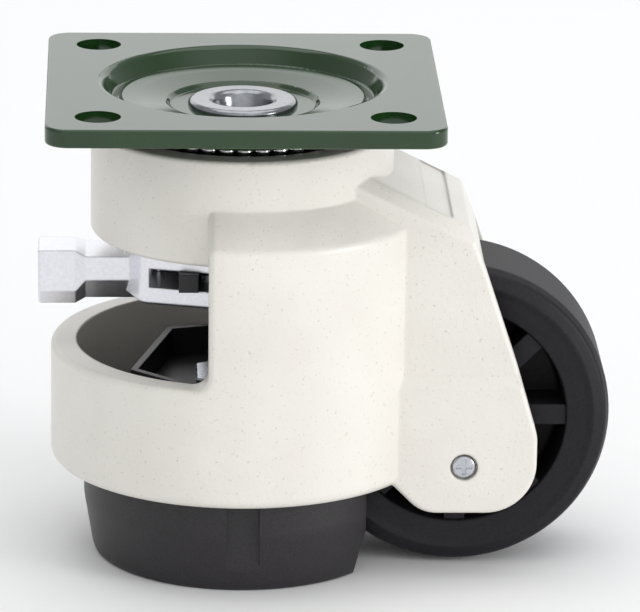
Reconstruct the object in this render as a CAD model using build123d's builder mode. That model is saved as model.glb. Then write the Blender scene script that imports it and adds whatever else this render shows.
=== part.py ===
from build123d import *
from math import atan2, cos, radians, sin, sqrt
import os

os.makedirs("parts", exist_ok=True)

# Levelling castor. Millimetres. The origin is the centre of the mounting plate's top face, on the
# swivel axis; +Z is up, +X points to the wheel and the ratchet lever points along -X at rest.

cut_past = 60.0              # how far a cutting shape runs past what it cuts
overrun = 1.0                # the same where a shape just meets its neighbour
near = 1.0                   # margin when edges are picked by their place

# ------------------------------------------------------------------ mounting plate and king rivet
plate_side = 95.0
plate_thick = 4.5
plate_corner_r = 5.5
plate_edge_r = 0.7
bolt_spacing = 70.0
bolt_hole_r = 5.5
dish_depth = 4.4             # pressed groove floor, below the plate's top face
dish_mouth_r = 34.2          # where the flat sheet turns down
dish_floor_r = 31.9
dish_sheet = 4.0             # sheet thickness in the pressing
dish_draft = 0.6             # how far the groove's steps slope
well_draft = 1.0
dish_shoulder = 1.6          # outward curl of the pressing under the flat sheet
dish_bends = (1.8, 0.7, 0.15, 0.2, 20.0, 0.8, 0.9)
dish_under_bends = (0, 1.0, 1.5, 1.4, 0.5, 0)
land_depth = 3.6             # crest of the raised ring above the bearing
land_outer_r = 29.3
land_middle = (25.5, 4.0)    # radius and depth, as it slopes in to the well
land_foot = (18.6, 5.0)
land_inner_r = 20.5          # where the underside steps down to the well
well_depth = 6.0             # centre well that takes the rivet's head
well_r = 17.6
king_r = 10.4
king_bore_r = 7.4
king_head_r = 13.3
king_head_thick = 1.6
king_head_edge_r = 1.28
king_bore_edge_r = 2.0
king_throat_r = 5.4          # the bore narrows to this like a funnel
king_funnel_depth = 7.0
king_foot_r = 14.0
king_foot_thick = 2.0

# ------------------------------------------------------------------ swivel bearing
upper_ball_r = 2.0
upper_ball_pitch_r = 27.2
upper_ball_count = 40
lower_ball_r = 1.5
lower_ball_pitch_r = 15.0
lower_ball_count = 28
race_gap = 0.05              # between a ball and its track
track_depth = 0.5            # how deep the balls sit in a track
race_thick = 1.6
lower_race_thick = 2.4
race_margin = 3.0            # flat of the upper race beside its track
lower_race_margin = 1.4

# ------------------------------------------------------------------ housing casting
head_r = 36.8
head_rim_z = -10.7
head_bottom_z = -37.0
head_edge_r = 1.6
head_rim_edge_r = 0.8
cup_r = 31.0
web_thick = 4.0              # floor of the bearing cup
web_bore_r = 12.0
ring_r = 46.5
ring_wall = 6.2
ring_top_z = -65.0
ring_bottom_z = -94.4
ring_edge_r = 2.6
column_x = -8.6              # where the two columns stop and the lever's window begins
column_edge_r = 1.6
window_corner_r = 4.0
shoulder_z = -23.0           # cone between the head and the columns
shoulder_drop = 7.6
shoulder_edge_r = 2.0
upper_cavity_r = 18.5
pocket_x = 38.5              # hollow under the roof
pocket_top_z = -40.0         # ceiling in front of that hollow

wheel_r = 37.5
wheel_width = 32.0
axle_x = 52.25
axle_z = -80.2
axle_r = 5.0
ear_half = 25.4              # outer face of the fork's upper part
pad_half = 27.2              # outer face of its thicker lower part
pad_top_z = -64.0
pad_slope = 6.0
ear_wall = 5.0
ear_edge_r = 1.1
roof_start = (27.5, -17.0)
roof_end = (54.3, -30.3)
roof_wall = 3.6
roof_flat_half = 21.3        # half the width of its level middle
roof_side_drop = 2.8         # its sides slope down this far to the fork's outer faces
roof_bend_r = 5.0
roof_edge_r = 0.8
roof_inner_lean = 1.0        # front wall's inside leans out this far towards the lip
roof_lip_z = -39.8
roof_panel = (7.0, 42.4)     # bare recessed panel on the roof: along the slope, across
roof_panel_x = 47.2          # its middle
roof_panel_depth = 0.6
roof_panel_corner_r = 1.0
boss_half = 18.2             # axle boss face
boss_r = 9.5
boss_bottom_z = -96.6
axle_chamfer = 0.5
axle_fit = 0.03
slot_end_gap = 0.1

# ------------------------------------------------------------------ jack screw and ratchet
thrust_plate_r = 26.0
thrust_plate_z = -30.0
thrust_plate_thick = 4.0
thrust_screw_pitch_r = 22.3
thrust_screw_count = 3
thrust_screw_r = 2.0
thrust_screw_depth = 6.0
thrust_screw_head_r = 3.8
thrust_screw_tip_gap = 0.5
screw_fit = 0.02
thrust_washer_thick = 1.5
thrust_washer_r = 16.0
spindle_neck_r = 8.0
spindle_top_edge = 0.6
spindle_top_over = 1.2       # above the upper clip
hex_over = 1.5               # below the lower clip
spindle_tip = 1.0
spindle_flange_r = 17.0
spindle_thread_r = 7.0
spindle_end_gap = 2.8        # above the foot's floor with the foot raised
hex_flats = 16.0
clip_thick = 1.2
clip_r = 11.0
clip_groove = 0.7
running_gap = 0.2            # end play between turning faces
running_fit = 0.06           # radial clearance of a turning fit
lever_top_z = -39.4
lever_bottom_z = -52.1
ratchet_r = 13.6
ratchet_root_r = 11.7
ratchet_teeth = 24
ratchet_gap_width = 2.2
lever_washer_thick = 1.1

# ------------------------------------------------------------------ ratchet lever
lever_ring_r = 21.5
lever_shoulder = (-24.5, 15.2)
lever_cheek = (-8.8, 19.6)
lever_neck_x = -28.5
lever_corner_r = 4.0         # in plan, beside the neck
lever_edge = 0.7
lever_boss_x = -40.5
lever_taper = 2.5
lever_end_x = -49.6
lever_axis_z = -48.0
neck_corners = ((7.5, -42.4), (7.7, -48.2), (4.6, -53.4))  # half width and height: top, waist, bottom
boss_corners = ((6.3, -41.2), (6.9, -51.2), (4.8, -54.8))
lever_end_edge_r = 0.8
socket_r = 4.5
socket_depth = 16.0
slot_left_x = -22.6
slot_right_x = 6.0
slot_top_z = -43.0
slot_bottom_z = -47.7
slot_play = 0.12
tab_x = (-15.5, -10.7)
tab_reach = 20.6
tab_root = 12.6
tab_set_back = 1.2           # tab's inner face behind the crescent's
selector_r = (14.1, 18.4)
selector_thick = 1.4
selector_arc = 70.0
peg_r = 1.5
peg_x = -15.6
pawl_x = -20.2
pawl_hub_r = 2.0
pawl_pin_up = 1.5            # pin's lower end above the lever's underside
pawl_pin_r = 1.2
pawl_arm = 9.46
pawl_arm_width = 1.6
pawl_arm_angle = 42.2
pawl_swing_angle = 10.0      # turn of the pawl that brings an arm into the teeth
pawl_tooth_angle = 22.5      # where that arm meets the drum, from the lever's line
pawl_tooth = (1.4, 1.1)      # along the radius, across
pawl_gap = 0.15

# ------------------------------------------------------------------ foot
foot_gap = 1.9               # between the ring and the foot
foot_top_z = -82.0
foot_toe_high = 14.3         # sloping part of the foot's side
foot_toe_edge = (0.4, 0.3, 2.0)
foot_toe_inset = 2.4
foot_bottom_z = -118.3
foot_toe_edge_r = 1.4
foot_toe_bend_r = 4.0
foot_waist_bend_r = 14.0
foot_rim_edge_r = 0.8
foot_inner_edge_r = 2.0
foot_wall = 4.4
foot_floor = 6.0
foot_flat_x = 30.3
foot_flat_high = 11.3        # sloping part of its flat side
foot_flat_toe_x = 26.9
key_width = 8.1
key_depth = 1.6
key_gap = 0.5
key_inset = 1.5              # keys stop this far inside the ring's ends
foot_up = 7.5                # travel from the modelled height
foot_down = 6.0
tower_top_z = -69.5
tower_wall = 1.7
tower_long = 23.2            # distance of the tower's long and short sides from the axis
tower_short = 27.6
tower_turn = 165.7           # direction that a long side faces
pocket_z = -76.0
pocket_limit_x = 11.3        # the pocket stops short of the wheel's notch
notch_gap = 1.2
notch_half = 17.3
nut_r = 10.3
nut_flange_flats = 22.0
nut_flange_thick = 2.5
nut_high = 20.3              # nut's lower end above the foot's bottom
thread_gap = 0.1

# ------------------------------------------------------------------ wheel, axle and fasteners
wheel_tread_edge = 4.2       # width of the rounded edges of the tread
wheel_bead = (33.5, 0.5)     # radius, height
wheel_bead_slope = 1.6
wheel_face_drop = 1.2        # side face below the bead at the rim's inner and outer edges
wheel_crown = 1.0
wheel_draft = 0.8            # slope of the hub and of the rim's inside
wheel_bends = (0, 0.6, 1, 1, 0.5, 0.6, 0.8, 1.6, 2.4, 2.4, 1.6, 0.8, 0.6, 0.5, 1, 1, 0.6, 0)
wheel_rim_r = 26.9
wheel_web = 3.4
wheel_hub_r = 11.5
spoke_count = 8
spoke_width = 5.0
spoke_half = 14.0
bush_r = 7.5
hub_half = 16.5
spacer_thick = 1.2
spacer_r = 8.2
keeper_gap = 0.15
keeper_lift = 0.8            # keeper's lower end above the ears' lowest point
axle_inset = 3.0             # axle's ends inside the outer faces of the pads
screw_x = 53.7
screw_z = -89.6
screw_r = 1.9
screw_head_r = 2.85
screw_head_thick = 1.9
screw_recess_r = 3.35
screw_recess_depth = 2.1
screw_shank_inset = 1.0      # shank's inner end short of the boss's inner face
screw_head_edge_r = 0.7
cross_width = 1.0
cross_span = 4.0
cross_depth = 0.7

# ------------------------------------------------------------------ places worked out from the sizes
dish_underside_z = -(dish_depth + dish_sheet)
well_underside_z = -(well_depth + dish_sheet)
upper_ball_z = dish_underside_z - upper_ball_r - race_gap
cup_floor_z = upper_ball_z - upper_ball_r + track_depth - race_gap - race_thick
web_bottom_z = cup_floor_z - web_thick
lower_ball_z = web_bottom_z - lower_ball_r + track_depth - race_gap
lower_race_z = lower_ball_z - lower_ball_r + track_depth - race_gap
king_foot_z = lower_race_z - lower_race_thick
ring_inner_r = ring_r - ring_wall
foot_r = ring_inner_r - foot_gap
foot_toe_r = foot_r - foot_toe_inset
foot_waist_z = foot_bottom_z + foot_toe_high
foot_flat_z = foot_bottom_z + foot_flat_high
foot_floor_z = foot_bottom_z + foot_floor
nut_bottom_z = foot_bottom_z + nut_high
spindle_end_z = foot_floor_z + foot_up + spindle_end_gap
ear_inner = ear_half - ear_wall
axle_half = pad_half - axle_inset
thrust_bottom_z = thrust_plate_z - thrust_plate_thick
flange_top_z = thrust_bottom_z - thrust_washer_thick - running_gap
ratchet_top_z = lever_top_z + running_gap
ratchet_bottom_z = lever_bottom_z - running_gap
washer_bottom_z = ratchet_bottom_z - lever_washer_thick
roof_slope = (roof_end[1] - roof_start[1]) / (roof_end[0] - roof_start[0])


def roof_z(x, below=0.0):
    """Height of the roof's plane at x, or of a plane that lies below it."""
    return roof_start[1] + roof_slope * (x - roof_start[0]) - below * sqrt(1 + roof_slope**2)


def turned(*points, radius=0, mode=Mode.ADD):
    """Turn a closed (radius, height) outline about the swivel axis."""
    with BuildSketch(Plane.XZ) as outline:
        with BuildLine():
            FilletPolyline(*points, radius=radius, close=True)
        make_face()
    revolve(outline.sketch, axis=Axis.Z, mode=mode)


def washer(outer_r, inner_r, top_z, thick, mode=Mode.ADD):
    """A flat ring about the swivel axis, below top_z."""
    with BuildSketch(Plane.XY.offset(top_z - thick)) as outline:
        Circle(outer_r)
        if inner_r > 0:
            Circle(inner_r, mode=Mode.SUBTRACT)
    extrude(outline.sketch, amount=thick, mode=mode)


def plate_in_xz(points, half, radius=0, mode=Mode.ADD):
    """Extrude a closed (x, z) outline the same way to both sides of the XZ plane."""
    with BuildSketch(Plane.XZ) as outline:
        with BuildLine():
            FilletPolyline(*points, radius=radius, close=True)
        make_face()
    extrude(outline.sketch, amount=half, both=True, mode=mode)


def finish(part, label):
    """Name a finished piece and write it."""
    part.label = label
    export_step(part, f"parts/{label}.step")


# ================================================================== plate body
with BuildPart() as top_plate:
    with BuildSketch(Plane.XY.offset(-plate_thick)):
        RectangleRounded(plate_side, plate_side, plate_corner_r)
        with GridLocations(bolt_spacing, bolt_spacing, 2, 2):
            Circle(bolt_hole_r, mode=Mode.SUBTRACT)
        Circle(dish_mouth_r + dish_sheet, mode=Mode.SUBTRACT)
    extrude(amount=plate_thick)
    rim_edges = top_plate.edges().filter_by(Plane.XY).filter_by(
        lambda e: max(abs(e.center().X), abs(e.center().Y)) > plate_side / 2 - plate_corner_r
    )
    fillet(rim_edges, plate_edge_r)
    # The pressed dish: mouth, groove, raised land and centre well, one sheet thick all over.
    with BuildSketch(Plane.XZ):
        with BuildLine():
            top = FilletPolyline(
                (dish_mouth_r + dish_sheet, 0),
                (dish_mouth_r, 0),
                (dish_floor_r, -dish_depth),
                (land_outer_r + dish_draft, -dish_depth),
                (land_outer_r, -land_depth),
                (land_middle[0], -land_middle[1]),
                (land_foot[0], -land_foot[1]),
                (well_r, -well_depth),
                (king_r, -well_depth),
                radius=dish_bends,
            )
            under = FilletPolyline(
                (king_r, -well_depth),
                (king_r, well_underside_z),
                (well_r - well_draft, well_underside_z),
                (land_inner_r - well_draft, dish_underside_z),
                (dish_mouth_r + dish_draft, dish_underside_z),
                (dish_mouth_r + dish_shoulder, -plate_thick - dish_shoulder),
                (dish_mouth_r + dish_sheet, -plate_thick),
                (dish_mouth_r + dish_sheet, 0),
                radius=dish_under_bends,
            )
        make_face()
    revolve(axis=Axis.Z)
finish(top_plate.part, "top_plate")

with BuildPart() as king_rivet:
    turned(
        (king_bore_r, -well_depth + king_head_thick),
        (king_head_r, -well_depth + king_head_thick),
        (king_head_r, -well_depth),
        (king_r, -well_depth),
        (king_r, king_foot_z),
        (king_foot_r, king_foot_z),
        (king_foot_r, king_foot_z - king_foot_thick),
        (king_throat_r, king_foot_z - king_foot_thick),
        (king_throat_r, -well_depth + king_head_thick - king_funnel_depth),
    )
    head_edges = king_rivet.edges().filter_by(GeomType.CIRCLE).group_by(Axis.Z)[-1]
    fillet(head_edges.sort_by(SortBy.RADIUS)[-1], king_head_edge_r)
    head_edges = king_rivet.edges().filter_by(GeomType.CIRCLE).group_by(Axis.Z)[-1]
    fillet(head_edges.sort_by(SortBy.RADIUS)[0], king_bore_edge_r)
finish(king_rivet.part, "king_rivet")

with BuildPart() as lower_race:
    washer(lower_ball_pitch_r + lower_ball_r + lower_race_margin, king_r, lower_race_z, lower_race_thick)
    with BuildSketch(Plane.XZ) as track:
        with Locations((lower_ball_pitch_r, lower_ball_z)):
            Circle(lower_ball_r + race_gap)
    revolve(track.sketch, axis=Axis.Z, mode=Mode.SUBTRACT)
finish(lower_race.part, "lower_race")

# ================================================================== swivel bearing
with BuildPart() as upper_race:
    washer(cup_r, upper_ball_pitch_r - upper_ball_r - race_margin, cup_floor_z + race_thick, race_thick)
    with BuildSketch(Plane.XZ) as track:
        with Locations((upper_ball_pitch_r, upper_ball_z)):
            Circle(upper_ball_r + race_gap)
    revolve(track.sketch, axis=Axis.Z, mode=Mode.SUBTRACT)
finish(upper_race.part, "upper_race")

for name, ball_r, pitch_r, ball_z, count in (
    ("upper_balls", upper_ball_r, upper_ball_pitch_r, upper_ball_z, upper_ball_count),
    ("lower_balls", lower_ball_r, lower_ball_pitch_r, lower_ball_z, lower_ball_count),
):
    with BuildPart(Plane.XY.offset(ball_z)) as balls:
        with PolarLocations(pitch_r, count):
            Sphere(ball_r)
    finish(balls.part, name)

# ================================================================== housing
# The fork and its roof, made first so that their edges can be rounded on their own.
ear_front_x = ring_inner_r / 2
ear_outline = [
    (ear_front_x, ring_bottom_z),
    (ear_front_x, roof_z(ear_front_x)),
    roof_end,
    (58.3, -40.5),
    (66.3, -64.5),
    (71.4, -82.0),
    (71.3, -101.4),
    (43.5, -101.4),
    (36.3, -94.2),
    (33.0, ring_bottom_z),
]
ear_corners = (0, 0, 1.6, 20.0, 30.0, 9.0, 12.5, 9.0, 2.0, 0)


def rounded_fork(half):
    """The fork's side outline as one slab, its rims rounded."""
    with BuildPart() as slab:
        plate_in_xz(ear_outline, half, radius=ear_corners)
        rims = slab.faces().filter_by(Axis.Y).edges().filter_by(lambda e: e.center().X > ear_front_x + near)
        fillet(rims, ear_edge_r)
    return slab.part


with BuildPart() as pads:
    add(rounded_fork(pad_half))
    # Above the pads the fork's faces stand further in, behind a sloping band.
    with BuildSketch(Plane.YZ.offset(ear_front_x - overrun)):
        with BuildLine():
            Polyline(
                (pad_half, pad_top_z - pad_slope),
                (ear_inner, pad_top_z + pad_slope),
                (-ear_inner, pad_top_z + pad_slope),
                (-pad_half, pad_top_z - pad_slope),
                (-pad_half, cut_past),
                (pad_half, cut_past),
                close=True,
            )
        make_face()
    extrude(amount=cut_past, mode=Mode.SUBTRACT)

with BuildPart() as fork:
    add(rounded_fork(ear_half))
    # The roof's long sides are sloped off by a bar that lies along it.
    roof_tilt = atan2(roof_start[1] - roof_end[1], roof_end[0] - roof_start[0])
    along_roof = (cos(roof_tilt), 0, -sin(roof_tilt))
    off_roof = (sin(roof_tilt), 0, cos(roof_tilt))
    panel_centre = (roof_panel_x, 0, roof_z(roof_panel_x))
    with BuildSketch(Plane(origin=panel_centre, x_dir=(0, 1, 0), z_dir=along_roof)) as bar:
        with BuildLine():
            FilletPolyline(
                (roof_flat_half, 0),
                (-roof_flat_half, 0),
                (-ear_half, -roof_side_drop),
                (-ear_half, -2 * cut_past),
                (ear_half, -2 * cut_past),
                (ear_half, -roof_side_drop),
                radius=(roof_bend_r, roof_bend_r, roof_edge_r, 0, 0, roof_edge_r),
                close=True,
            )
        make_face()
    extrude(bar.sketch, amount=2 * cut_past, both=True, mode=Mode.INTERSECT)
    add(pads.part)
    # Bare recessed panel on the roof.
    with BuildSketch(Plane(origin=panel_centre, x_dir=along_roof, z_dir=off_roof)) as panel:
        RectangleRounded(*roof_panel, roof_panel_corner_r)
    extrude(panel.sketch, amount=-roof_panel_depth, mode=Mode.SUBTRACT)

with BuildPart() as head:
    washer(head_r, 0, head_rim_z, head_rim_z - head_bottom_z)
    fillet(head.edges().group_by(Axis.Z)[0], head_edge_r)
    fillet(head.edges().group_by(Axis.Z)[-1], head_rim_edge_r)

with BuildPart() as housing:
    # Drum: the lower ring and the two columns, under a conical shoulder.
    turned(
        (0, ring_bottom_z),
        (ring_r, ring_bottom_z),
        (ring_r, shoulder_z - shoulder_drop),
        (head_r, shoulder_z),
        (0, shoulder_z),
        radius=(0, ring_edge_r, shoulder_edge_r, 0, 0),
    )
    # The lever's window opens the -X side above the ring.
    plate_in_xz(
        [
            (-cut_past, ring_top_z),
            (column_x, ring_top_z),
            (column_x, cut_past),
            (-cut_past, cut_past),
        ],
        cut_past,
        radius=(0, window_corner_r, 0, 0),
        mode=Mode.SUBTRACT,
    )
    window_edges = housing.edges().filter_by(
        lambda e: e.center().X < column_x + near
        and e.center().Z > ring_top_z - near
        and e.center().Z < shoulder_z
        and all(abs(sqrt(v.X**2 + v.Y**2) - ring_r) < 0.01 for v in e.vertices())
    )
    fillet(window_edges, column_edge_r)
    add(fork.part)
    add(head.part)
    # Bearing cup, the well around the rivet's foot and the seat of the thrust plate.
    washer(cup_r, 0, head_rim_z, head_rim_z - cup_floor_z, mode=Mode.SUBTRACT)
    washer(web_bore_r, 0, cup_floor_z, web_thick, mode=Mode.SUBTRACT)
    washer(upper_cavity_r, 0, web_bottom_z, web_bottom_z - thrust_plate_z, mode=Mode.SUBTRACT)
    washer(thrust_plate_r, 0, thrust_plate_z, thrust_plate_z - head_bottom_z, mode=Mode.SUBTRACT)
    with BuildSketch(Plane.XZ) as track:
        with Locations((lower_ball_pitch_r, lower_ball_z)):
            Circle(lower_ball_r + race_gap)
    revolve(track.sketch, axis=Axis.Z, mode=Mode.SUBTRACT)
    with BuildSketch(Plane.XY.offset(thrust_plate_z)) as screw_holes:
        with PolarLocations(thrust_screw_pitch_r, thrust_screw_count):
            Circle(thrust_screw_r + screw_fit)
    extrude(screw_holes.sketch, amount=thrust_screw_depth, mode=Mode.SUBTRACT)
    # Room for the lever's head and the foot, then for the wheel between the ears.
    washer(ring_inner_r, 0, head_bottom_z, head_bottom_z - ring_bottom_z, mode=Mode.SUBTRACT)
    plate_in_xz(
        [
            (ear_front_x, foot_bottom_z),
            (ear_front_x, pocket_top_z),
            (pocket_x, pocket_top_z),
            (pocket_x, roof_z(pocket_x, roof_wall)),
            (roof_end[0] - roof_wall, roof_z(roof_end[0] - roof_wall, roof_wall)),
            (roof_end[0] - roof_wall + roof_inner_lean, roof_lip_z),
            (axle_x + cut_past, roof_lip_z),
            (axle_x + cut_past, foot_bottom_z),
        ],
        ear_inner,
        mode=Mode.SUBTRACT,
    )
    # Keys that guide the foot, at the front and back of the ring.
    for side in (1, -1):
        with BuildSketch(Plane.XY.offset(ring_bottom_z + key_inset)) as key:
            with Locations((0, side * (ring_inner_r + ring_wall / 2 + foot_r - key_depth + key_gap) / 2)):
                Rectangle(
                    key_width - 2 * key_gap,
                    ring_inner_r + ring_wall / 2 - foot_r + key_depth - key_gap,
                )
        extrude(key.sketch, amount=ring_top_z - ring_bottom_z - 2 * key_inset)
    # Axle bosses inside the ears, with slots that open downwards.
    boss_outline = [
        (axle_x - boss_r, boss_bottom_z),
        (axle_x - boss_r, axle_z + boss_r),
        (axle_x + boss_r, axle_z + boss_r),
        (axle_x + boss_r, boss_bottom_z),
    ]
    for side in (1, -1):
        with BuildSketch(Plane.XZ.offset(side * boss_half)) as boss:
            with BuildLine():
                FilletPolyline(*boss_outline, radius=(0, boss_r - 0.1, boss_r - 0.1, 0), close=True)
            make_face()
        extrude(boss.sketch, amount=side * (ear_inner + overrun - boss_half))
        with BuildSketch(Plane.XZ.offset(side * (boss_half - overrun))) as slot:
            with Locations((axle_x, axle_z)):
                Circle(axle_r + axle_fit)
            with Locations((axle_x, axle_z - cut_past / 2)):
                Rectangle(2 * (axle_r + axle_fit), cut_past)
        slot_deep = axle_half + slot_end_gap - boss_half + overrun
        extrude(slot.sketch, amount=side * slot_deep, mode=Mode.SUBTRACT)
        with BuildSketch(Plane.XZ.offset(side * (boss_half - overrun))) as screw_hole:
            with Locations((screw_x, screw_z)):
                Circle(screw_r)
        extrude(screw_hole.sketch, amount=side * cut_past, mode=Mode.SUBTRACT)
        with BuildSketch(Plane.XZ.offset(side * (pad_half - screw_recess_depth))) as recess:
            with Locations((screw_x, screw_z)):
                Circle(screw_recess_r)
        extrude(recess.sketch, amount=side * cut_past, mode=Mode.SUBTRACT)
finish(housing.part, "housing")

# ================================================================== axle group
with BuildPart(Plane.XZ.offset(-axle_half)) as axle:
    with Locations((axle_x, axle_z)):
        Cylinder(axle_r, 2 * axle_half, align=(Align.CENTER, Align.CENTER, Align.MIN))
    chamfer(axle.edges().filter_by(GeomType.CIRCLE), axle_chamfer)
finish(axle.part, "axle")

with BuildPart() as axle_keepers:
    for side in (1, -1):
        keeper_top = axle_z - axle_r - keeper_gap
        keeper_bottom = min(point[1] for point in ear_outline) + keeper_lift
        with BuildSketch(Plane.XZ.offset(side * (boss_half + keeper_gap))) as block:
            with Locations((axle_x, (keeper_top + keeper_bottom) / 2)):
                Rectangle(2 * axle_r, keeper_top - keeper_bottom)
            with Locations((screw_x, screw_z)):
                Circle(screw_r, mode=Mode.SUBTRACT)
        extrude(block.sketch, amount=side * (axle_half - boss_half - keeper_gap))
finish(axle_keepers.part, "axle_keepers")

with BuildPart() as wheel_spacers:
    for side in (1, -1):
        with BuildSketch(Plane.XZ.offset(side * (boss_half - running_gap - spacer_thick))) as ring:
            with Locations((axle_x, axle_z)):
                Circle(spacer_r)
                Circle(axle_r + running_fit, mode=Mode.SUBTRACT)
        extrude(ring.sketch, amount=side * spacer_thick)
finish(wheel_spacers.part, "wheel_spacers")

with BuildPart() as retaining_screws:
    for side in (1, -1):
        seat_y = pad_half - screw_recess_depth
        with BuildSketch(Plane.XZ.offset(side * (boss_half + screw_shank_inset))) as shank:
            with Locations((screw_x, screw_z)):
                Circle(screw_r)
        extrude(shank.sketch, amount=side * (seat_y - boss_half - screw_shank_inset))
        with BuildSketch(Plane.XZ.offset(side * seat_y)) as screw_head:
            with Locations((screw_x, screw_z)):
                Circle(screw_head_r)
        extrude(screw_head.sketch, amount=side * screw_head_thick)
    outer_rims = retaining_screws.edges().filter_by(GeomType.CIRCLE).filter_by(
        lambda e: abs(e.center().Y) > pad_half - screw_recess_depth + near
    )
    fillet(outer_rims, screw_head_edge_r)
    for side in (1, -1):
        with BuildSketch(Plane.XZ.offset(side * (seat_y + screw_head_thick - cross_depth))) as cross:
            with Locations((screw_x, screw_z)):
                Rectangle(cross_width, cross_span)
                Rectangle(cross_span, cross_width)
        extrude(cross.sketch, amount=side * cross_depth, mode=Mode.SUBTRACT)
finish(retaining_screws.part, "retaining_screws")

# ================================================================== wheel
with BuildPart() as wheel:
    # Rim, web and hub are one moulding, turned about the axle.
    half = wheel_width / 2
    bead_r, bead_proud = wheel_bead
    tread_edge = wheel_tread_edge
    with BuildSketch(Plane.XY) as section:
        with BuildLine():
            FilletPolyline(
                (bush_r, -hub_half),
                (wheel_hub_r, -hub_half),
                (wheel_hub_r + wheel_draft, -wheel_web / 2),
                (wheel_rim_r - wheel_draft, -wheel_web / 2),
                (wheel_rim_r, wheel_face_drop - half),
                (bead_r - wheel_bead_slope, bead_proud - half),
                (bead_r, -half),
                (wheel_r - wheel_crown, wheel_face_drop - half),
                (wheel_r, tread_edge - half),
                (wheel_r, half - tread_edge),
                (wheel_r - wheel_crown, half - wheel_face_drop),
                (bead_r, half),
                (bead_r - wheel_bead_slope, half - bead_proud),
                (wheel_rim_r, half - wheel_face_drop),
                (wheel_rim_r - wheel_draft, wheel_web / 2),
                (wheel_hub_r + wheel_draft, wheel_web / 2),
                (wheel_hub_r, hub_half),
                (bush_r, hub_half),
                radius=wheel_bends,
                close=True,
            )
        make_face()
    revolve(section.sketch, axis=Axis.Y)
    for step in range(spoke_count):
        with BuildSketch(Plane.XZ) as spoke:
            with Locations(Rotation(0, 0, step * 360 / spoke_count)):
                with Locations(((wheel_rim_r + wheel_hub_r) / 2, 0)):
                    Rectangle(wheel_rim_r - wheel_hub_r + overrun, spoke_width)
        extrude(spoke.sketch, amount=spoke_half, both=True)
wheel_place = Pos(axle_x, 0, axle_z)
finish(wheel_place * wheel.part, "wheel")

with BuildPart() as wheel_bush:
    with BuildSketch(Plane.XZ.offset(-hub_half)):
        with Locations((axle_x, axle_z)):
            Circle(bush_r)
            Circle(axle_r + running_fit, mode=Mode.SUBTRACT)
    extrude(amount=2 * hub_half)
finish(wheel_bush.part, "wheel_bush")

# ================================================================== jack screw
with BuildPart() as thrust_plate:
    with BuildSketch(Plane.XY.offset(thrust_bottom_z)):
        Circle(thrust_plate_r - running_fit)
        Circle(spindle_neck_r + running_fit, mode=Mode.SUBTRACT)
        with PolarLocations(thrust_screw_pitch_r, thrust_screw_count):
            Circle(thrust_screw_r, mode=Mode.SUBTRACT)
    extrude(amount=thrust_plate_thick)
    with PolarLocations(thrust_screw_pitch_r, thrust_screw_count):
        with Locations((0, 0, thrust_bottom_z)):
            Cone(
                thrust_screw_head_r,
                thrust_screw_r,
                thrust_screw_r,
                align=(Align.CENTER, Align.CENTER, Align.MIN),
                mode=Mode.SUBTRACT,
            )
finish(thrust_plate.part, "thrust_plate")

with BuildPart() as thrust_plate_screws:
    with PolarLocations(thrust_screw_pitch_r, thrust_screw_count):
        with Locations((0, 0, thrust_bottom_z)):
            Cone(
                thrust_screw_head_r,
                thrust_screw_r,
                thrust_screw_r,
                align=(Align.CENTER, Align.CENTER, Align.MIN),
            )
            Cylinder(
                thrust_screw_r,
                thrust_plate_thick + thrust_screw_depth - thrust_screw_tip_gap,
                align=(Align.CENTER, Align.CENTER, Align.MIN),
            )
finish(thrust_plate_screws.part, "thrust_plate_screws")

with BuildPart() as thrust_washer:
    washer(thrust_washer_r, spindle_neck_r + running_fit, thrust_bottom_z, thrust_washer_thick)
finish(thrust_washer.part, "thrust_washer")

upper_clip_z = thrust_plate_z + running_gap + clip_thick
spindle_top_z = upper_clip_z + spindle_top_over
lower_clip_z = washer_bottom_z
hex_bottom_z = lower_clip_z - clip_thick - hex_over
groove_r = spindle_neck_r - clip_groove
with BuildPart() as spindle:
    turned(
        (0, spindle_top_z),
        (spindle_neck_r - spindle_top_edge, spindle_top_z),
        (spindle_neck_r, spindle_top_z - spindle_top_edge),
        (spindle_neck_r, upper_clip_z),
        (groove_r, upper_clip_z),
        (groove_r, upper_clip_z - clip_thick),
        (spindle_neck_r, upper_clip_z - clip_thick),
        (spindle_neck_r, flange_top_z),
        (spindle_flange_r, flange_top_z),
        (spindle_flange_r, ratchet_top_z),
        (spindle_thread_r, ratchet_top_z),
        (spindle_thread_r, spindle_end_z + spindle_tip),
        (spindle_thread_r - spindle_tip, spindle_end_z),
        (0, spindle_end_z),
    )
    with BuildSketch(Plane.XY.offset(hex_bottom_z)) as drive_hex:
        RegularPolygon(hex_flats / 2, 6, major_radius=False)
    extrude(drive_hex.sketch, amount=ratchet_top_z - hex_bottom_z)
    with BuildSketch(Plane.XY.offset(lower_clip_z - clip_thick)) as lower_groove:
        Circle(hex_flats)
        Circle(groove_r, mode=Mode.SUBTRACT)
    extrude(lower_groove.sketch, amount=clip_thick, mode=Mode.SUBTRACT)
finish(spindle.part, "spindle")

for name, top_z in (("spindle_clip", upper_clip_z), ("lever_clip", lower_clip_z)):
    with BuildPart() as clip:
        washer(clip_r, groove_r, top_z, clip_thick)
        with BuildSketch(Plane.XY.offset(top_z - clip_thick)) as mouth:
            with Locations((clip_r, 0)):
                Rectangle(clip_r, groove_r)
        extrude(mouth.sketch, amount=clip_thick, mode=Mode.SUBTRACT)
    finish(clip.part, name)

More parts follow.
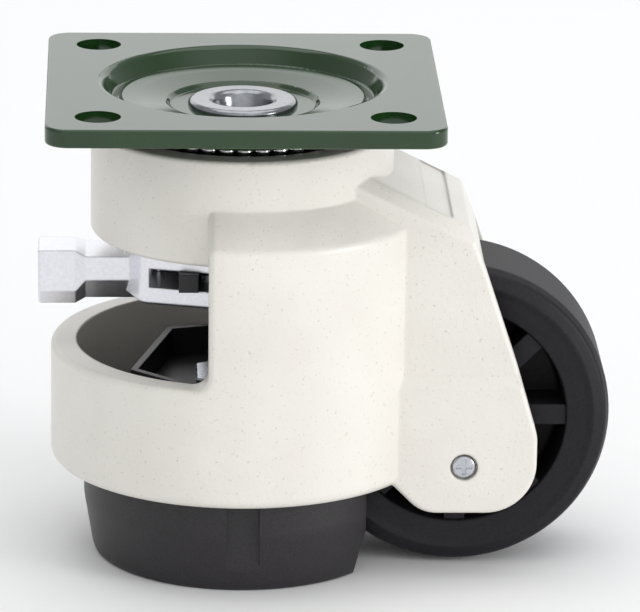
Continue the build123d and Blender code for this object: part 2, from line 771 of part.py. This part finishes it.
# ================================================================== ratchet
with BuildPart() as ratchet_gear:
    # A drum with one band of teeth milled round its middle; its plain ends carry the lever.
    with BuildSketch(Plane.XY.offset(ratchet_bottom_z)):
        Circle(ratchet_r)
        RegularPolygon(hex_flats / 2, 6, major_radius=False, mode=Mode.SUBTRACT)
    extrude(amount=ratchet_top_z - ratchet_bottom_z)
    with BuildSketch(Plane.XY.offset(slot_bottom_z)) as gaps:
        with PolarLocations(ratchet_r, ratchet_teeth, start_angle=180 / ratchet_teeth):
            Rectangle(2 * (ratchet_r - ratchet_root_r), ratchet_gap_width)
    extrude(gaps.sketch, amount=slot_top_z - slot_bottom_z, mode=Mode.SUBTRACT)
finish(ratchet_gear.part, "ratchet_gear")

with BuildPart() as lever_washer:
    washer(spindle_flange_r, hex_flats / sqrt(3), ratchet_bottom_z, lever_washer_thick)
finish(lever_washer.part, "lever_washer")

# ================================================================== lever
def arm_section(x, corners):
    """Six-sided section of the lever's arm across the X axis, from the corners of its +Y half."""
    with BuildSketch(Plane(origin=(x, 0, 0), x_dir=(0, 1, 0), z_dir=(1, 0, 0))) as section:
        with BuildLine():
            Polyline(*corners, *[(-y, z) for y, z in reversed(corners)], close=True)
        make_face()
    return section.sketch


with BuildPart() as lever:
    # Head: a ring around the ratchet with straight cheeks that run out to the arm.
    with BuildSketch(Plane.XY.offset(lever_bottom_z)):
        Circle(lever_ring_r)
        with BuildLine():
            Polyline(
                (lever_neck_x, -neck_corners[2][0]),
                (lever_shoulder[0], -lever_shoulder[1]),
                (lever_cheek[0], -lever_cheek[1]),
                (0, 0),
                (lever_cheek[0], lever_cheek[1]),
                (lever_shoulder[0], lever_shoulder[1]),
                (lever_neck_x, neck_corners[2][0]),
                close=True,
            )
        make_face()
    extrude(amount=lever_top_z - lever_bottom_z)
    shoulder_edges = lever.edges().filter_by(Axis.Z).filter_by(
        lambda e: e.center().X < lever_shoulder[0] + near
    )
    fillet(shoulder_edges.sort_by(Axis.X)[2:4], lever_corner_r)
    head_faces = lever.faces().filter_by(Axis.Z)
    head_rims = head_faces.edges().filter_by(lambda e: e.center().X > lever_neck_x + near / 2)
    chamfer(head_rims, lever_edge)
    # Arm and its thicker end.
    neck_start_x = lever_boss_x + lever_taper
    extrude(arm_section(neck_start_x, neck_corners), amount=lever_shoulder[0] + overrun - neck_start_x)
    extrude(arm_section(lever_end_x, boss_corners), amount=lever_boss_x - lever_end_x)
    loft(
        [
            arm_section(lever_boss_x, boss_corners).faces()[0],
            arm_section(neck_start_x, neck_corners).faces()[0],
        ]
    )
    fillet(lever.faces().sort_by(Axis.X)[0].edges(), lever_end_edge_r)
    end_plane = Plane(origin=(lever_end_x, 0, lever_axis_z), x_dir=(0, 1, 0), z_dir=(1, 0, 0))
    with BuildSketch(end_plane) as socket:
        Circle(socket_r)
    extrude(socket.sketch, amount=socket_depth, mode=Mode.SUBTRACT)
    # Running bore, the slot for the pawl and selector, and the pawl pin's hole.
    washer(ratchet_r + running_fit, 0, lever_top_z, lever_top_z - lever_bottom_z, mode=Mode.SUBTRACT)
    with BuildSketch(Plane.XY.offset(slot_bottom_z)) as slot:
        with Locations(((slot_left_x + slot_right_x) / 2, 0)):
            Rectangle(slot_right_x - slot_left_x, 3 * lever_ring_r)
    extrude(slot.sketch, amount=slot_top_z - slot_bottom_z, mode=Mode.SUBTRACT)
    with BuildSketch(Plane.XY.offset(lever_bottom_z + pawl_pin_up)) as pin_hole:
        with Locations((pawl_x, 0)):
            Circle(pawl_pin_r)
    extrude(pin_hole.sketch, amount=lever_top_z - lever_bottom_z, mode=Mode.SUBTRACT)
finish(lever.part, "lever")

with BuildPart() as pawl_pin:
    with BuildSketch(Plane.XY.offset(lever_bottom_z + pawl_pin_up)):
        with Locations((pawl_x, 0)):
            Circle(pawl_pin_r)
    extrude(amount=lever_top_z - lever_bottom_z - pawl_pin_up)
finish(pawl_pin.part, "pawl_pin")

with BuildPart() as selector:
    # A thin crescent above the pawl, with a peg between the pawl's arms and a thumb tab each side.
    with BuildSketch(Plane.XY.offset(slot_top_z - slot_play - selector_thick)):
        Circle(selector_r[1])
        Circle(selector_r[0], mode=Mode.SUBTRACT)
        with BuildLine():
            Polyline(
                (0, 0),
                (-cut_past * cos(radians(selector_arc)), cut_past * sin(radians(selector_arc))),
                (-cut_past, cut_past),
                (-cut_past, -cut_past),
                (-cut_past * cos(radians(selector_arc)), -cut_past * sin(radians(selector_arc))),
                close=True,
            )
        make_face(mode=Mode.INTERSECT)
    extrude(amount=selector_thick)
    for side in (1, -1):
        with BuildSketch(Plane.XY.offset(slot_bottom_z + slot_play)) as tab:
            with Locations((sum(tab_x) / 2, side * (tab_reach + tab_root) / 2)):
                Rectangle(tab_x[1] - tab_x[0], tab_reach - tab_root)
            Circle(selector_r[0] + tab_set_back, mode=Mode.SUBTRACT)
        extrude(tab.sketch, amount=slot_top_z - slot_bottom_z - 2 * slot_play)
    with BuildSketch(Plane.XY.offset(slot_bottom_z + slot_play)) as peg:
        with Locations((peg_x, 0)):
            Circle(peg_r)
    extrude(peg.sketch, amount=slot_top_z - slot_bottom_z - 2 * slot_play)
finish(selector.part, "selector")

with BuildPart() as pawl:
    pawl_thick = slot_top_z - slot_bottom_z - 3 * slot_play - selector_thick
    with BuildSketch(Plane.XY.offset(slot_bottom_z + slot_play)):
        with Locations((pawl_x, 0)):
            Circle(pawl_hub_r)
        for side in (1, -1):
            turn = side * radians(pawl_arm_angle)
            middle = (pawl_x + pawl_arm / 2 * cos(turn), pawl_arm / 2 * sin(turn))
            with Locations(Location(middle, side * pawl_arm_angle)):
                Rectangle(pawl_arm, pawl_arm_width)
            # The drum as this arm meets it: the arm is trimmed to it and gets a tooth for one gap.
            with Locations(Location((pawl_x, 0), side * pawl_swing_angle)):
                with Locations(Location((-pawl_x, 0), 180 - side * pawl_tooth_angle)):
                    Circle(ratchet_r + pawl_gap, mode=Mode.SUBTRACT)
                    with Locations((ratchet_r, 0)):
                        Rectangle(pawl_tooth[0], pawl_tooth[1])
        with Locations((pawl_x, 0)):
            Circle(pawl_pin_r + running_fit, mode=Mode.SUBTRACT)
    extrude(amount=pawl_thick)
finish(pawl.part, "pawl")

# ================================================================== foot
def tower_outline(inset):
    """Six-sided outline with three long and three short sides, moved in by an inset."""
    long_r, short_r = tower_long - inset, tower_short - inset
    corners = []
    for side in range(6):
        here = radians(tower_turn + 60 * side)
        after = radians(tower_turn + 60 * (side + 1))
        r_here, r_after = (long_r, short_r) if side % 2 == 0 else (short_r, long_r)
        # Where this side's line meets the next one.
        x = (r_here * sin(after) - r_after * sin(here)) / sin(after - here)
        y = (r_after * cos(here) - r_here * cos(after)) / sin(after - here)
        corners.append((x, y))
    return corners


with BuildPart() as foot_body:
    turned(
        (0, foot_bottom_z),
        (foot_toe_r - foot_toe_edge[0], foot_bottom_z),
        (foot_toe_r + foot_toe_edge[1], foot_bottom_z + foot_toe_edge[2]),
        (foot_r, foot_waist_z),
        (foot_r, foot_top_z),
        (foot_r - foot_wall, foot_top_z),
        (foot_r - foot_wall, foot_floor_z),
        (0, foot_floor_z),
        radius=(
            0,
            foot_toe_edge_r,
            foot_toe_bend_r,
            foot_waist_bend_r,
            foot_rim_edge_r,
            foot_rim_edge_r,
            foot_inner_edge_r,
            0,
        ),
    )
    with BuildSketch(Plane.XY.offset(foot_floor_z)) as tower:
        with BuildLine():
            Polyline(*tower_outline(0), close=True)
        make_face()
        Circle(foot_r - foot_wall + overrun / 2, mode=Mode.INTERSECT)
    extrude(tower.sketch, amount=tower_top_z - foot_floor_z)
    with BuildSketch(Plane.XY.offset(pocket_z)) as pocket:
        with BuildLine():
            Polyline(*tower_outline(tower_wall), close=True)
        make_face()
        with Locations((pocket_limit_x - cut_past / 2, 0)):
            Rectangle(cut_past, 2 * cut_past, mode=Mode.INTERSECT)
    extrude(pocket.sketch, amount=tower_top_z - pocket_z, mode=Mode.SUBTRACT)
    with BuildSketch(Plane.XY.offset(foot_floor_z)) as well:
        Circle(nut_r)
    extrude(well.sketch, amount=tower_top_z - foot_floor_z, mode=Mode.SUBTRACT)
    # Guide grooves at the front and back.
    with BuildSketch(Plane.XY.offset(foot_bottom_z - overrun)) as grooves:
        for side in (1, -1):
            with Locations((0, side * (foot_r - key_depth + key_width / 2))):
                Rectangle(key_width, key_width)
    extrude(grooves.sketch, amount=foot_top_z - foot_bottom_z + 2 * overrun, mode=Mode.SUBTRACT)
    # Flat side towards the wheel, drawn in at the toe, and the arched notch that clears the wheel.
    plate_in_xz(
        [
            (foot_flat_x, 0),
            (foot_flat_x, foot_flat_z),
            (foot_flat_toe_x, foot_bottom_z - overrun),
            (cut_past, foot_bottom_z - overrun),
            (cut_past, 0),
        ],
        foot_r + overrun,
        mode=Mode.SUBTRACT,
    )
    with BuildSketch(Plane.XZ) as notch:
        with Locations((axle_x, axle_z + foot_down), (axle_x, axle_z - foot_up)):
            Circle(wheel_r + notch_gap)
        with Locations((axle_x, axle_z + (foot_down - foot_up) / 2)):
            Rectangle(2 * (wheel_r + notch_gap), foot_up + foot_down)
    extrude(notch.sketch, amount=notch_half, both=True, mode=Mode.SUBTRACT)
finish(foot_body.part, "foot_body")

with BuildPart() as foot_nut:
    with BuildSketch(Plane.XY.offset(pocket_z)):
        RegularPolygon(nut_flange_flats / 2, 6, major_radius=False, rotation=30)
    extrude(amount=nut_flange_thick)
    chamfer(foot_nut.faces().sort_by(Axis.Z)[-1].edges(), 0.4)
    with BuildSketch(Plane.XY.offset(nut_bottom_z)) as sleeve:
        Circle(nut_r)
    extrude(sleeve.sketch, amount=pocket_z - nut_bottom_z)
    nut_top_z = pocket_z + nut_flange_thick
    washer(spindle_thread_r + thread_gap, 0, nut_top_z, nut_top_z - nut_bottom_z, mode=Mode.SUBTRACT)
finish(foot_nut.part, "foot_nut")
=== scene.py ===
from math import cos, radians, sin

import bmesh
import bpy
from mathutils import Matrix, Vector


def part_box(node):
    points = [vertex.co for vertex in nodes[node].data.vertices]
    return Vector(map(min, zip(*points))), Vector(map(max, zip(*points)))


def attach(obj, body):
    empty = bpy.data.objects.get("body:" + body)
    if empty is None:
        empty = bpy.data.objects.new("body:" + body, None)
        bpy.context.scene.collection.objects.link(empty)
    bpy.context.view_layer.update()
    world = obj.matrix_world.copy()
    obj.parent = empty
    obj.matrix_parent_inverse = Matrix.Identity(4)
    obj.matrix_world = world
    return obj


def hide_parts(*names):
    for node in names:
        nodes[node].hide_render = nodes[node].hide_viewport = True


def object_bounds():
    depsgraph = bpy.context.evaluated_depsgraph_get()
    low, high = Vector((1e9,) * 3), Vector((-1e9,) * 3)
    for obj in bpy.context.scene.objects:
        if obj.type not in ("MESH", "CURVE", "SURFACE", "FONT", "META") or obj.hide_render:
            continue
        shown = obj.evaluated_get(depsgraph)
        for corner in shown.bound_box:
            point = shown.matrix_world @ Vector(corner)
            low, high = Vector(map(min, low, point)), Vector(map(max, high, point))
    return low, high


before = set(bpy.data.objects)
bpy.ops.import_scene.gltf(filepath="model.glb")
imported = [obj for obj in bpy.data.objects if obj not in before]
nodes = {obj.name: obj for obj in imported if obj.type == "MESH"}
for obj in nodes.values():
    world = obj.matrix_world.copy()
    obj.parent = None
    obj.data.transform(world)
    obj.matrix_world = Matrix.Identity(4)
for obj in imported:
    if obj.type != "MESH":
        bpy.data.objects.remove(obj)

# Levelling castor, dressed. Metres, in the frame of the CAD model: the origin is the centre of the
# plate's top face, +Z is up, +X points to the wheel and the lever points along -X.

MM = 0.001
cad_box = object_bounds()
scene = bpy.context.scene

# Places read from the frame.
wheel_low, wheel_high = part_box("wheel")
wheel_centre = (wheel_low + wheel_high) / 2
thread_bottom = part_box("spindle")[0].z


# ------------------------------------------------------------------ materials
def srgb(code):
    """A colour written as sRGB hex, as linear RGBA."""
    values = [int(code[i:i + 2], 16) / 255 for i in (1, 3, 5)]
    return [v / 12.92 if v <= 0.04045 else ((v + 0.055) / 1.055) ** 2.4 for v in values] + [1.0]


def add_node(tree, kind, inputs=None, **settings):
    """Adds a node. Each input is a value, or another node's output socket to link."""
    made = tree.nodes.new(kind)
    for name, value in settings.items():
        setattr(made, name, value)
    for key, value in (inputs or {}).items():
        if isinstance(value, bpy.types.NodeSocket):
            tree.links.new(value, made.inputs[key])
        else:
            made.inputs[key].default_value = value
    return made


def new_material(name):
    """An empty material: its tree, its shader and the Object coordinates that patterns read."""
    material = bpy.data.materials.new(name)
    material.use_nodes = True
    tree = material.node_tree
    tree.nodes.clear()
    shader = add_node(tree, "ShaderNodeBsdfPrincipled")
    add_node(tree, "ShaderNodeOutputMaterial", {"Surface": shader.outputs["BSDF"]})
    place = add_node(tree, "ShaderNodeTexCoord").outputs["Object"]
    return material, tree, shader, place


def per_metre(size_mm):
    """Texture scale at which one cell of a pattern is about this many millimetres across."""
    return 1000.0 / size_mm


def soft_edges(tree, radius_mm):
    """Normals that run round an edge, as a coat, a casting or a moulding rounds it."""
    return add_node(tree, "ShaderNodeBevel", {"Radius": radius_mm * MM}, samples=6).outputs["Normal"]


def noise(tree, place, cell_mm, detail, **inputs):
    """Noise whose cells are about this many millimetres across."""
    made = add_node(tree, "ShaderNodeTexNoise", {
        "Vector": place, "Scale": per_metre(cell_mm), "Detail": detail, **inputs})
    return made.outputs["Fac"]


def tone_over(tree, pattern, low, high):
    """A colour that follows a pattern from one sRGB tone to the other."""
    ramp = add_node(tree, "ShaderNodeValToRGB", {"Fac": pattern})
    for element, position, code in zip(ramp.color_ramp.elements, (0.3, 0.7), (low, high)):
        element.position = position
        element.color = srgb(code)
    return ramp.outputs["Color"]


def bump(tree, height, strength, depth_mm, **inputs):
    """Normals tilted by a pattern of this depth."""
    made = add_node(tree, "ShaderNodeBump", {
        "Height": height, "Strength": strength, "Distance": depth_mm * MM, **inputs})
    return made.outputs["Normal"]


def dress(tree, shader, **inputs):
    """Feeds a shader: links an output, or sets a plain value on its own socket."""
    for name, value in inputs.items():
        socket = shader.inputs[name.replace("_", " ")]
        if isinstance(value, bpy.types.NodeSocket):
            tree.links.new(value, socket)
        else:
            socket.default_value = value


def stoved_enamel():
    """Stoving enamel on pressed steel: one deep green glossy layer that mirrors the room at a low
    angle, over the faint waviness of the sheet."""
    material, tree, shader, place = new_material("stoved_enamel_green")
    tone = tone_over(tree, noise(tree, place, 9.0, 3.0), "#133110", "#173815")
    waves = noise(tree, place, 2.6, 2.0)
    dress(tree, shader, Base_Color=tone, Normal=bump(tree, waves, 0.06, 0.05), Roughness=0.12, IOR=1.58)
    return material


def textured_ivory_coat():
    """Polyester powder coat over a die casting: ivory, half gloss, with a fine leather grain that
    breaks up its highlights and rounded edges that catch the light."""
    material, tree, shader, place = new_material("textured_ivory_powder_coat")
    tone = tone_over(tree, noise(tree, place, 22.0, 2.0), "#dedad2", "#e4e1d9")
    # Pits where the coat draws back from the grain: tiny, darker and scattered.
    pit = add_node(tree, "ShaderNodeMapRange", {
        "Value": noise(tree, place, 0.7, 1.0), "From Min": 0.22, "From Max": 0.34,
        "To Min": 1.0, "To Max": 0.0})
    pitted = add_node(tree, "ShaderNodeMix", {
        "Factor": pit.outputs["Result"], "A": tone, "B": srgb("#cbc8bf")}, data_type="RGBA")
    grain = noise(tree, place, 1.3, 3.0, Roughness=0.6)
    skin = bump(tree, grain, 0.75, 0.14, Normal=soft_edges(tree, 1.1))
    dress(tree, shader, Base_Color=pitted.outputs["Result"], Normal=skin, Roughness=0.30, IOR=1.5)
    return material


def metal(name, low, high, roughness, grain_mm, bump_mm, edge_mm=0.15):
    """A metal whose tone and roughness vary a little over its grain, so that it shines unevenly."""
    material, tree, shader, place = new_material(name)
    grain = noise(tree, place, grain_mm, 4.0)
    rough = add_node(tree, "ShaderNodeMapRange", {
        "Value": grain, "To Min": roughness * 0.7, "To Max": roughness * 1.3})
    skin = bump(tree, grain, 0.3, bump_mm, Normal=soft_edges(tree, edge_mm))
    dress(tree, shader, Base_Color=tone_over(tree, grain, low, high), Roughness=rough.outputs["Result"],
          Normal=skin, Metallic=1.0)
    return material


def moulded_nylon(name, low, high, roughness, grain_mm, bump_mm, specular=0.5, axle=None):
    """Black glass-filled nylon as it leaves the mould: dull, with a faint sparkle in the grain. With
    an axle, fine turning rings run round it."""
    material, tree, shader, place = new_material(name)
    grain = noise(tree, place, grain_mm, 3.0)
    skin = bump(tree, grain, 0.5, bump_mm, Normal=soft_edges(tree, 0.5))
    if axle is not None:
        from_axle = add_node(tree, "ShaderNodeVectorMath", {0: place, 1: tuple(axle)}, operation="SUBTRACT")
        parts = add_node(tree, "ShaderNodeSeparateXYZ", {"Vector": from_axle.outputs["Vector"]})
        across = add_node(tree, "ShaderNodeCombineXYZ", {"X": parts.outputs["X"], "Z": parts.outputs["Z"]})
        radius = add_node(tree, "ShaderNodeVectorMath", {0: across.outputs["Vector"]}, operation="LENGTH")
        lathe = add_node(tree, "ShaderNodeCombineXYZ", {
            "X": radius.outputs["Value"], "Y": parts.outputs["Y"]})
        rings = noise(tree, lathe.outputs["Vector"], 0.9, 3.0)
        skin = bump(tree, rings, 0.35, 0.1, Normal=skin)
    dress(tree, shader, Base_Color=tone_over(tree, grain, low, high), Normal=skin, Roughness=roughness,
          Specular_IOR_Level=specular, IOR=1.53)
    return material


enamel = stoved_enamel()
ivory = textured_ivory_coat()
zinc_casting = metal("satin_zinc_casting", "#e8e8ee", "#f4f4f8", 0.38, 0.8, 0.04, edge_mm=0.7)
zinc_plate = metal("bright_zinc_plate", "#b9bcc4", "#ced0d6", 0.26, 1.6, 0.02)
rivet_steel = metal("formed_rivet_steel", "#8a8c90", "#9c9ea2", 0.20, 1.6, 0.06)
oiled_steel = metal("oiled_screw_steel", "#3a393c", "#48474a", 0.38, 0.9, 0.02)
bearing_steel = metal("polished_bearing_steel", "#b4b5b6", "#c4c5c6", 0.12, 3.0, 0.004)
spring_steel = metal("blackened_spring_steel", "#2e2f31", "#3a3b3e", 0.35, 1.2, 0.02)
wheel_nylon = moulded_nylon("moulded_nylon_wheel", "#171519", "#201e22", 0.50, 0.7, 0.03, specular=0.22,
                            axle=wheel_centre)
foot_nylon = moulded_nylon("moulded_nylon_foot", "#1c191b", "#292629", 0.42, 0.45, 0.05, specular=0.4)
selector_nylon = moulded_nylon("moulded_nylon_selector", "#1c1c1e", "#242427", 0.42, 0.5, 0.02)

finishes = {
    enamel: ["top_plate"],
    ivory: ["housing"],
    zinc_casting: ["lever"],
    rivet_steel: ["king_rivet"],
    oiled_steel: ["spindle"],
    zinc_plate: ["retaining_screws", "foot_nut", "thrust_plate", "thrust_plate_screws",
                 "axle", "wheel_spacers", "lever_washer"],
    bearing_steel: ["lower_race", "upper_race", "upper_balls", "lower_balls", "thrust_washer",
                    "ratchet_gear", "pawl", "pawl_pin", "wheel_bush"],
    spring_steel: ["spindle_clip", "lever_clip"],
    wheel_nylon: ["wheel"],
    foot_nylon: ["foot_body"],
    selector_nylon: ["selector", "axle_keepers"],
}
for material, names in finishes.items():
    for name in names:
        for material_slot in nodes[name].material_slots:
            material_slot.material = material


# ------------------------------------------------------------------ jack screw with its thread
thread_pitch = 3.0 * MM
thread_radius = 7.0 * MM
thread_core = 5.4 * MM
thread_top = -56.3 * MM
thread_steps = 48            # points along one turn


def swept_thread():
    """A node tree that winds a thread's ridge round a core, from named sizes."""
    tree = bpy.data.node_groups.new("swept_thread", "GeometryNodeTree")
    face = tree.interface
    for name, kind in (("Crest radius", "NodeSocketFloat"), ("Core radius", "NodeSocketFloat"),
                       ("Pitch", "NodeSocketFloat"), ("Length", "NodeSocketFloat"),
                       ("Steps per turn", "NodeSocketInt"), ("Finish", "NodeSocketMaterial")):
        face.new_socket(name, in_out="INPUT", socket_type=kind)
    face.new_socket("Geometry", in_out="OUTPUT", socket_type="NodeSocketGeometry")
    sizes = add_node(tree, "NodeGroupInput").outputs

    def maths(operation, a, b):
        return add_node(tree, "ShaderNodeMath", {0: a, 1: b}, operation=operation).outputs["Value"]

    turns = maths("DIVIDE", sizes["Length"], sizes["Pitch"])
    path = add_node(tree, "GeometryNodeCurveSpiral", {
        "Resolution": sizes["Steps per turn"], "Rotations": turns, "Start Radius": sizes["Core radius"],
        "End Radius": sizes["Core radius"], "Height": sizes["Length"]})
    upright = add_node(tree, "GeometryNodeSetCurveNormal", {"Curve": path.outputs["Curve"]}, mode="Z_UP")
    depth = maths("SUBTRACT", sizes["Crest radius"], sizes["Core radius"])
    ridge = add_node(tree, "GeometryNodeCurvePrimitiveQuadrilateral", {
        "Bottom Width": maths("MULTIPLY", sizes["Pitch"], 0.86),
        "Top Width": maths("MULTIPLY", sizes["Pitch"], 0.3),
        "Height": maths("MULTIPLY", depth, 2.0), "Offset": 0.0}, mode="TRAPEZOID")
    swept = add_node(tree, "GeometryNodeCurveToMesh", {
        "Curve": upright.outputs["Curve"], "Profile Curve": ridge.outputs["Curve"], "Fill Caps": True})
    core = add_node(tree, "GeometryNodeMeshCylinder", {
        "Vertices": sizes["Steps per turn"], "Radius": sizes["Core radius"], "Depth": sizes["Length"]})
    half = maths("MULTIPLY", sizes["Length"], 0.5)
    lift = add_node(tree, "ShaderNodeCombineXYZ", {"Z": half})
    raised = add_node(tree, "GeometryNodeTransform", {"Geometry": core.outputs["Mesh"],
                                                      "Translation": lift.outputs["Vector"]})
    joined = add_node(tree, "GeometryNodeJoinGeometry")
    for part in (swept.outputs["Mesh"], raised.outputs["Geometry"]):
        tree.links.new(part, joined.inputs["Geometry"])
    real = add_node(tree, "GeometryNodeRealizeInstances", {"Geometry": joined.outputs["Geometry"]})
    painted = add_node(tree, "GeometryNodeSetMaterial", {"Geometry": real.outputs["Geometry"],
                                                         "Material": sizes["Finish"]})
    add_node(tree, "NodeGroupOutput", {"Geometry": painted.outputs["Geometry"]})
    return tree


def grown(name, tree, sizes):
    """The plain mesh that a node tree makes from its named sizes."""
    holder = bpy.data.objects.new(name + "_holder", bpy.data.meshes.new(name))
    scene.collection.objects.link(holder)
    modifier = holder.modifiers.new("grow", "NODES")
    modifier.node_group = tree
    for item in tree.interface.items_tree:
        if item.in_out == "INPUT":
            modifier[item.identifier] = sizes[item.name]
    evaluated = holder.evaluated_get(bpy.context.evaluated_depsgraph_get())
    mesh = bpy.data.meshes.new_from_object(evaluated)
    bpy.data.objects.remove(holder)
    mesh.name = name
    return mesh


def piece(name, mesh, body):
    """An object at the origin that carries a finished mesh and rides on a body."""
    made = bpy.data.objects.new(name, mesh)
    scene.collection.objects.link(made)
    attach(made, body)
    return made


def outward(shape):
    """Merges doubled corners and turns every face outwards."""
    bmesh.ops.remove_doubles(shape, verts=shape.verts, dist=0.002 * MM)
    bmesh.ops.recalc_face_normals(shape, faces=shape.faces)


thread_mesh = grown("jack_screw_thread", swept_thread(), {
    "Crest radius": thread_radius, "Core radius": thread_core, "Pitch": thread_pitch,
    "Length": thread_top - thread_bottom, "Steps per turn": thread_steps, "Finish": oiled_steel})
thread_mesh.transform(Matrix.Translation((0, 0, thread_bottom)))

# The plain upper half of the screw is the CAD solid's own, cut off above the thread.
upper = bmesh.new()
upper.from_mesh(nodes["spindle"].data)
outward(upper)
cut = bmesh.ops.bisect_plane(upper, geom=upper.verts[:] + upper.edges[:] + upper.faces[:], clear_inner=True,
                             plane_co=(0, 0, thread_top), plane_no=(0, 0, 1))
rim = [part for part in cut["geom_cut"] if isinstance(part, bmesh.types.BMEdge)]
bmesh.ops.holes_fill(upper, edges=rim)
upper.from_mesh(thread_mesh)
screw_mesh = bpy.data.meshes.new("jack_screw")
upper.to_mesh(screw_mesh)
upper.free()
screw_mesh.materials.append(oiled_steel)
jack_screw = piece("jack_screw", screw_mesh, "spindle")
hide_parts("spindle")


# ------------------------------------------------------------------ floor, light and camera
def flat_material(name, code, roughness):
    """A plain painted studio surface."""
    material, tree, shader, _ = new_material(name)
    dress(tree, shader, Base_Color=srgb(code), Roughness=roughness)
    return material


floor_half = 4.0
floor_mesh = bpy.data.meshes.new("studio_floor")
floor_mesh.from_pydata(
    [(x * floor_half, y * floor_half, cad_box[0].z) for x, y in ((-1, -1), (1, -1), (1, 1), (-1, 1))],
    [], [(0, 1, 2, 3)])
floor_mesh.materials.append(flat_material("studio_floor_white", "#f6f6f6", 0.9))
studio_floor = bpy.data.objects.new("studio_floor", floor_mesh)
scene.collection.objects.link(studio_floor)


def soft_box(name, place, size, power, mirrored=True, aim=(0.01, 0, -0.06)):
    """A rectangular soft light that faces the castor; mirrored says whether glossy faces show it."""
    data = bpy.data.lights.new(name, "AREA")
    data.shape = "RECTANGLE"
    data.size, data.size_y = size
    data.energy = power
    lamp = bpy.data.objects.new(name, data)
    lamp.location = place
    lamp.rotation_euler = (Vector(aim) - Vector(place)).to_track_quat("-Z", "Y").to_euler()
    lamp.visible_glossy = mirrored
    scene.collection.objects.link(lamp)


soft_box("overhead_soft_box", (0.05, 0.1, 1.3), (1.6, 1.4), 8.5)
soft_box("back_soft_box", (0.0, 1.6, 0.55), (2.6, 0.9), 6.5)
soft_box("left_soft_box", (-1.3, -0.7, 0.5), (1.0, 1.0), 1.5, mirrored=False)
soft_box("right_soft_box", (1.3, -0.7, 0.2), (0.45, 0.62), 9)

world = bpy.data.worlds.new("studio")
world.use_nodes = True
# The room's walls are pale, and glow in front above the viewer, where a large diffuser stands.
room = world.node_tree
facing = add_node(room, "ShaderNodeVectorMath", {
    0: add_node(room, "ShaderNodeTexCoord").outputs["Generated"],
    1: Vector((0.15, -0.9, 0.4)).normalized()}, operation="DOT_PRODUCT")
glow = add_node(room, "ShaderNodeMapRange", {
    "Value": facing.outputs["Value"], "From Min": 0.5, "From Max": 1.0, "To Min": 0.55, "To Max": 1.15},
    interpolation_type="SMOOTHSTEP")
room.nodes["Background"].inputs["Color"].default_value = srgb("#f4f5f7")
room.links.new(glow.outputs["Result"], room.nodes["Background"].inputs["Strength"])
scene.world = world
scene.view_settings.view_transform = "Standard"

# The viewpoint: turned a little to the left, looking down, through a long lens.
view_yaw, view_pitch, view_roll = radians(2.0), radians(16.6), radians(0.7)
view_distance = 1475 * MM
aim_right, aim_below = 18.6 * MM, 54.6 * MM

level_right = Vector((cos(view_yaw), -sin(view_yaw), 0))
level_ahead = Vector((sin(view_yaw), cos(view_yaw), 0))
ahead = level_ahead * cos(view_pitch) + Vector((0, 0, -sin(view_pitch)))
above = level_ahead * sin(view_pitch) + Vector((0, 0, cos(view_pitch)))
right = level_right * cos(view_roll) + above * sin(view_roll)
above = above * cos(view_roll) - level_right * sin(view_roll)

lens = bpy.data.cameras.new("view")
lens.sensor_width = 36.0
lens.lens = 343.0
camera = bpy.data.objects.new("view", lens)
stand = right * aim_right - above * aim_below - ahead * view_distance
turned_to = Matrix((right, above, -ahead)).transposed().to_4x4()
camera.matrix_world = Matrix.Translation(stand) @ turned_to
scene.collection.objects.link(camera)
scene.camera = camera
